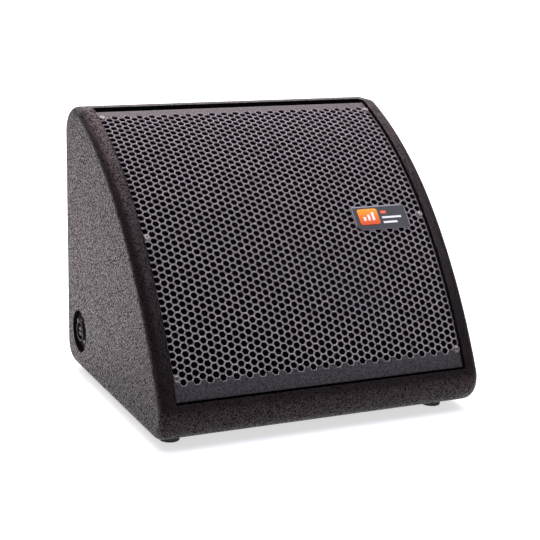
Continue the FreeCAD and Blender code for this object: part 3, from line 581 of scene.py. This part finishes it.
def sheet_rims():
    """The ragged outlines of the perforated field: bottom, top, left and right chains."""
    cells = {(column, row): (x, distance) for column, row, x, distance in hole_centres()}
    bottom, top = [], []
    for column in range(FIRST_COLUMN, LAST_COLUMN + 1):
        low = cell_corners(*cells[column, ROWS - 1])
        high = cell_corners(*cells[column, 0])
        bottom += [low[4], low[5]]
        top += [high[2], high[1]]
    left, right = [], []
    for row in range(ROWS):
        first = cell_corners(*cells[FIRST_COLUMN, row])
        last = cell_corners(*cells[LAST_COLUMN, row])
        left += [first[2], first[3]]
        right += [last[1], last[0]]
    left.append(cell_corners(*cells[FIRST_COLUMN, ROWS - 1])[4])
    right.append(cell_corners(*cells[LAST_COLUMN, ROWS - 1])[5])
    return bottom, top, left, right


def band_between(sheet, rim, border, height, flip):
    """Quads from a rim chain to a border chain of as many points."""
    for index in range(len(rim) - 1):
        corners = [rim[index], rim[index + 1], border[index + 1], border[index]]
        if flip:
            corners.reverse()
        sheet.quad(*[(*corner, height) for corner in corners])


def fold_profile(end, inward):
    """Distance and height of the points of a folded edge, from the face to the hidden back."""
    return [(end - inward * back, -drop) for back, drop in FOLD_BEND] + [
        (end, -FOLD_DEPTH),
        (end - inward * GRILLE_THICK, -FOLD_DEPTH),
        (end - inward * GRILLE_THICK, -GRILLE_THICK),
    ]


def make_grille(materials):
    """The perforated sheet: rounded ribs, solid bands, and folded top and bottom edges."""
    sheet = SheetMesh()
    for _, _, x, distance in hole_centres():
        add_cell(sheet, x, distance)
    bottom, top, left, right = sheet_rims()
    ends = ((bottom, GRILLE_START, -1), (top, GRILLE_END, 1))
    for height in (0.0, -GRILLE_THICK):
        back = height < 0
        for rim, end, inward in ends:
            edge = fold_profile(end, inward)[-1 if back else 0][0]
            previous = [(-GRILLE_HALF, rim[0][1]), *rim, (GRILLE_HALF, rim[-1][1])]
            for remaining in range(BAND_STEPS, 0, -1):
                target = [(x, distance + (edge - distance) / remaining) for x, distance in previous]
                band_between(sheet, previous, target, height, (end == GRILLE_END) == back)
                previous = target
        for rim, side in ((left, -1), (right, 1)):
            border = [(side * GRILLE_HALF, distance) for _, distance in rim]
            band_between(sheet, rim, border, height, (side < 0) != back)
    for rim, end, inward in ends:
        across = [-GRILLE_HALF, *[x for x, _ in rim], GRILLE_HALF]
        profile = fold_profile(end, inward)
        for (near, high), (far, low) in zip(profile, profile[1:]):
            for x, following in zip(across, across[1:]):
                sheet.quad((x, near, high), (following, near, high), (following, far, low), (x, far, low))
    item = mesh_object("grille_sheet", sheet.vertices, sheet.faces)
    clean_mesh(item)
    # The faces of the rib rounding, which the grille coat paints lighter as a painted highlight.
    is_rib = [float(any(index in sheet.ribs for index in face.vertices)) for face in item.data.polygons]
    item.data.attributes.new("rib", "FLOAT", "FACE").data.foreach_set("value", is_rib)
    sharpen(item, SHEET_CREASE)
    dress(item, materials["grille_coat"])
    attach(item, "cabinet")
    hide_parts("grille")


# The grille's screws: for each side, its column and how many rows down from the zero row each screw is.
SCREW_ROWS = ((FIRST_COLUMN, (-28.5, -6.5, 12.5)), (LAST_COLUMN, (-28, -7, 13)))
SCREW_DISH = [(0, 1.0), (0.9, 1.0), (1.3, 1.95)]
SCREW_DOME = [(2.0, 2.1), (3.0, 1.75), (3.6, 1.1), (3.9, 0.4), (3.9, 0.0)]
SCREW_SHANK = [(1.8, 0.0), (1.8, -14), (0, -14)]
SCREW_STEPS = 32


def make_grille_screws(materials):
    """Low domed heads with a dished middle, standing square to the curve."""
    outline = SCREW_DISH + SCREW_DOME + SCREW_SHANK
    parts = []
    for column, rows in SCREW_ROWS:
        for row in rows:
            distance = ROW_ZERO - row * HOLE_PITCH
            origin = front_point((column - COLUMN_ZERO) * COLUMN_PITCH, distance, GRILLE_SINK)
            axes = front_axes(distance)
            parts.append(lathe("grille_screw", outline, origin, axes, SCREW_STEPS))
    item = merge("grille_screw_heads", parts)
    sharpen(item, SCREW_CREASE)
    dress(item, materials["black_screw"])
    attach(item, "cabinet")
    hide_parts("grille_screws")


# ---------------------------------------------------------------- flexible rings

# The loudspeaker's axis, square to the baffle, and the direction up the baffle.
TILT = math.radians(44.67)
AXIS = Vector((0, -math.sin(TILT), math.cos(TILT)))
UP_BAFFLE = Vector((0, math.cos(TILT), math.sin(TILT)))

# The rings in millimetres: radii, and heights along the axis from the middle of the surround's rim.
SECTORS = 12
SECTOR_STEPS = 10
SURROUND_RIM = 118
SURROUND_HALF = 0.5
ROLL_MIDDLE = 105.7
ROLL_RADIUS = 7.1
ROLL_STEPS = 12
LIP_TOP = [(98.0, 0.8), (95.6, 1.2)]
LIP_UNDER = [(98.6, -0.5), (98.2, 0.72), (95.6, 0.75)]
SPIDER_RIM = 59
SPIDER_HALF = 0.4
SPIDER_OUTER = 55
SPIDER_INNER = 25.95
SPIDER_LEVEL = -61.1
SPIDER_FOOT = -68.5
SPIDER_WAVE = 1.2
SPIDER_WAVES = 5
SPIDER_STEPS = 50


def roll_outline():
    """The surround's section: rim, half roll, and a lip glued over the edge of the cone."""
    top = [(SURROUND_RIM, SURROUND_HALF)]
    under = [(SURROUND_RIM, -SURROUND_HALF)]
    chains = (
        (top, ROLL_RADIUS, SURROUND_HALF),
        (under, ROLL_RADIUS - 2 * SURROUND_HALF, -SURROUND_HALF),
    )
    for step in range(ROLL_STEPS + 1):
        angle = math.pi * step / ROLL_STEPS
        for chain, radius, base in chains:
            chain.append((ROLL_MIDDLE + radius * math.cos(angle), base + radius * math.sin(angle)))
    top += LIP_TOP
    under += LIP_UNDER
    return top + under[::-1]


def spider_outline():
    """The centring disc's section: a waved cloth from a foot on the basket's floor to the coil."""
    top = [(SPIDER_RIM, SPIDER_LEVEL + SPIDER_HALF)]
    under = [(SPIDER_RIM, SPIDER_FOOT), (SPIDER_OUTER, SPIDER_FOOT)]
    for step in range(SPIDER_STEPS + 1):
        share = step / SPIDER_STEPS
        radius = SPIDER_OUTER + (SPIDER_INNER - SPIDER_OUTER) * share
        level = SPIDER_LEVEL + SPIDER_WAVE * math.sin(2 * math.pi * SPIDER_WAVES * share)
        top.append((radius, level + SPIDER_HALF))
        under.append((radius, level - SPIDER_HALF))
    return top + under[::-1]


def radial(turn):
    """The direction across the loudspeaker's axis, a share of a full turn round it."""
    angle = 2 * math.pi * turn
    return Vector((1, 0, 0)) * math.cos(angle) + UP_BAFFLE * math.sin(angle)


def flexible_ring(node, outline, materials):
    """A ring in sectors, each a fixed sweep of the section along its own arc, from the cabinet to the
    cone.
    """
    rim_low, rim_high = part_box("speaker_surround")
    centre = (rim_low + rim_high) / 2
    count = len(outline)
    for sector in range(SECTORS):
        vertices = []
        faces = []
        for step in range(SECTOR_STEPS + 1):
            out = radial((sector + step / SECTOR_STEPS) / SECTORS)
            vertices += [centre + (out * radius + AXIS * height) * MM for radius, height in outline]
        for step in range(SECTOR_STEPS):
            for index in range(count):
                here = step * count + index
                beside = step * count + (index + 1) % count
                faces.append((here, beside, beside + count, here + count))
        item = mesh_object(f"{node}_{sector + 1:02d}", vertices, faces)
        sharpen(item, RING_CREASE)
        dress(item, materials[SLOTS[node]])
        out = radial((sector + 0.5) / SECTORS)
        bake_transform(item)
        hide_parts(node)


# ---------------------------------------------------------------- stage

CAMERA_PLACE = Vector((-0.6982, -1.4765, 0.5689))
CAMERA_YAW = math.radians(25.415)
CAMERA_PITCH = math.radians(14.623)
CAMERA_ROLL = math.radians(1.781)
FOCAL_LENGTH = 95.85
SENSOR_WIDTH = 36

# The sky goes from dim to bright as the direction's y, plus a share of its x, rises through a range.
SKY_SLANT = 0.3
SKY_RANGE = (0.50, 0.85)
SKY_STRENGTH = (0.18, 1.1)
TINT_RANGE = (0.42, 0.8)
DIM_TINT = (0.76, 0.83, 1, 1)
BRIGHT_TINT = (1, 1, 1, 1)

FLOOR_CORNERS = [(-8, -8, 0), (8, -8, 0), (8, 3, 0), (-8, 3, 0)]
FLOOR_GLOW = 0.65

# name, place, target, size, power in watts, colour
LIGHTS = (
    ("top", (0.2, 0.1, 2.0), (0, 0, 0.1), (1.8, 1.4), 31, (0.95, 0.92, 0.98)),
    ("right", (1.1, -0.6, 1.5), (0.1, 0, 0.15), (0.7, 0.7), 9, (0.80, 0.86, 1.0)),
    ("backdrop", (0.2, 1.7, 2.0), (0.2, 1.7, 0), (3.6, 2.6), 84, (1.0, 0.80, 0.84)),
)


def make_camera():
    """A camera at its place, turned by yaw, then pitch, then roll."""
    forward = Vector((
        math.sin(CAMERA_YAW) * math.cos(CAMERA_PITCH),
        math.cos(CAMERA_YAW) * math.cos(CAMERA_PITCH),
        -math.sin(CAMERA_PITCH),
    ))
    level = Vector((math.cos(CAMERA_YAW), -math.sin(CAMERA_YAW), 0))
    upright = level.cross(forward)
    right = level * math.cos(CAMERA_ROLL) + upright * math.sin(CAMERA_ROLL)
    up = upright * math.cos(CAMERA_ROLL) - level * math.sin(CAMERA_ROLL)
    data = bpy.data.cameras.new("camera")
    data.lens = FOCAL_LENGTH
    data.sensor_width = SENSOR_WIDTH
    camera = bpy.data.objects.new("camera", data)
    turned = Matrix((right, up, -forward)).transposed().to_4x4()
    camera.matrix_world = Matrix.Translation(CAMERA_PLACE) @ turned
    bpy.context.scene.collection.objects.link(camera)
    bpy.context.scene.camera = camera


def soft_light(name, place, target, size, power, colour):
    """A rectangular light that faces its target."""
    data = bpy.data.lights.new(name, "AREA")
    data.shape = "RECTANGLE"
    data.size, data.size_y = size
    data.energy = power
    data.color = colour
    light = bpy.data.objects.new(name, data)
    light.location = place
    light.rotation_mode = "QUATERNION"
    light.rotation_quaternion = (Vector(target) - Vector(place)).to_track_quat("-Z", "Y")
    bpy.context.scene.collection.objects.link(light)


def studio_sky():
    """A studio that is white behind and beside the object and dimmer behind the camera."""
    world = bpy.data.worlds.new("studio")
    world.use_nodes = True
    tree = world.node_tree
    background = tree.nodes["Background"]
    place = tree.nodes.new("ShaderNodeTexCoord")
    separate = tree.nodes.new("ShaderNodeSeparateXYZ")
    blend = tree.nodes.new("ShaderNodeMath")
    blend.operation = "MULTIPLY_ADD"
    blend.inputs[1].default_value = SKY_SLANT
    ramp = tree.nodes.new("ShaderNodeMapRange")
    ramp.interpolation_type = "SMOOTHSTEP"
    for key, number in zip(("From Min", "From Max", "To Min", "To Max"), SKY_RANGE + SKY_STRENGTH):
        ramp.inputs[key].default_value = number
    tree.links.new(place.outputs["Generated"], separate.inputs["Vector"])
    tree.links.new(separate.outputs["X"], blend.inputs[0])
    tree.links.new(separate.outputs["Y"], blend.inputs[2])
    tree.links.new(blend.outputs["Value"], ramp.inputs["Value"])
    tree.links.new(ramp.outputs["Result"], background.inputs["Strength"])
    tint = tree.nodes.new("ShaderNodeValToRGB")
    for element, position, colour in zip(tint.color_ramp.elements, TINT_RANGE, (DIM_TINT, BRIGHT_TINT)):
        element.position = position
        element.color = colour
    tree.links.new(blend.outputs["Value"], tint.inputs["Fac"])
    tree.links.new(tint.outputs["Color"], background.inputs["Color"])
    bpy.context.scene.world = world


def make_stage():
    """A pale floor under a studio sky, with soft lights above, to the right and over the floor behind."""
    floor = mesh_object("floor", FLOOR_CORNERS, [(0, 1, 2, 3)])
    recipe = Recipe("floor", (0.9, 0.9, 0.9), 0.9)
    recipe.shader.inputs["Emission Color"].default_value = (1, 1, 1, 1)
    recipe.shader.inputs["Emission Strength"].default_value = FLOOR_GLOW
    stops = [(NOISE_LOW, (0.89, 0.89, 0.89)), (NOISE_HIGH, (0.91, 0.91, 0.91))]
    recipe.colour(recipe.ramp(recipe.noise(3, 2), stops))
    dress(floor, recipe.material)
    studio_sky()
    for light in LIGHTS:
        soft_light(*light)
    bpy.context.scene.view_settings.view_transform = "Standard"


materials = make_materials()
dress_cad(materials)
make_grille(materials)
make_grille_screws(materials)
flexible_ring("speaker_surround", roll_outline(), materials)
flexible_ring("speaker_spider", spider_outline(), materials)
make_camera()
make_stage()
